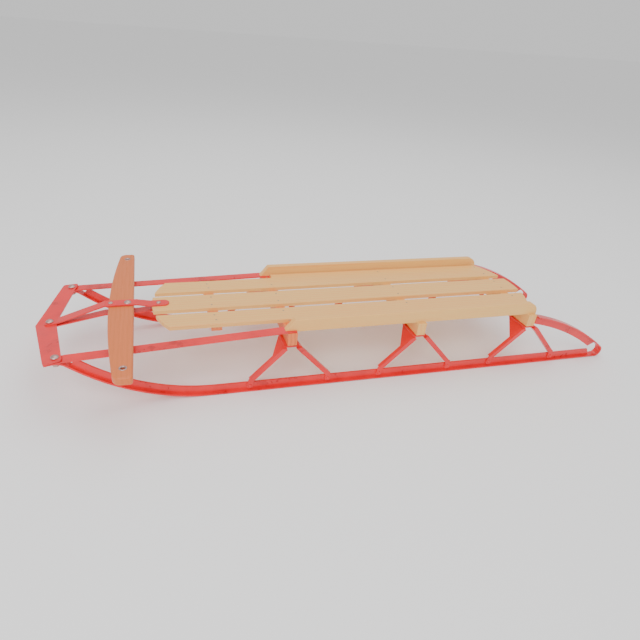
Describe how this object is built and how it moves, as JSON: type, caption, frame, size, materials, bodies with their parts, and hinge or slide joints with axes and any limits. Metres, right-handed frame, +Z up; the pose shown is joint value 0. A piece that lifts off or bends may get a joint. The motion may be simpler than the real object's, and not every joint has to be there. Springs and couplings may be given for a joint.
{
  "type": "runner sled",
  "caption": "Wooden-deck runner sled with painted steel T-bar runners, pressed knees, side rails and a pivoting steering bar.",
  "frame": {"origin": "centre of the sled's bounding box on the floor, under the runners", "axes": "+X forward to the bumper, +Y to the sled's left, +Z up"},
  "size_m": [1.376, 0.546, 0.164],
  "materials": {
    "deck_wood": "satin",
    "bench_wood": "satin",
    "bar_wood": "satin",
    "red_paint": "gloss",
    "bolt_steel": "satin"
  },
  "bodies": {
    "sled": {"slat_left": "deck_wood", "slat_centre": "deck_wood", "slat_right": "deck_wood", "side_rail_left": "deck_wood", "side_rail_right": "deck_wood", "front_cleat": "deck_wood", "bench_front": "bench_wood", "bench_middle": "bench_wood", "bench_rear": "bench_wood", "runner_left": "red_paint", "runner_right": "red_paint", "stay_left": "red_paint", "stay_right": "red_paint", "bumper": "red_paint", "strap_upper": "red_paint", "strap_lower": "red_paint", "knee_front_left": "red_paint", "knee_front_right": "red_paint", "knee_middle_left": "red_paint", "knee_middle_right": "red_paint", "knee_rear_left": "red_paint", "knee_rear_right": "red_paint", "pivot_bolt": "bolt_steel", "bumper_bolt_centre": "bolt_steel", "bumper_bolt_left": "bolt_steel", "bumper_bolt_right": "bolt_steel"},
    "steering": {"steering_bar": "bar_wood"}
  },
  "joints": [
    {"name": "steering", "type": "hinge", "parent": "sled", "child": "steering", "pos_m": [0.4945, 0, 0.1415], "axis": [0, 0, 1], "range_deg": [-15, 15]}
  ]
}
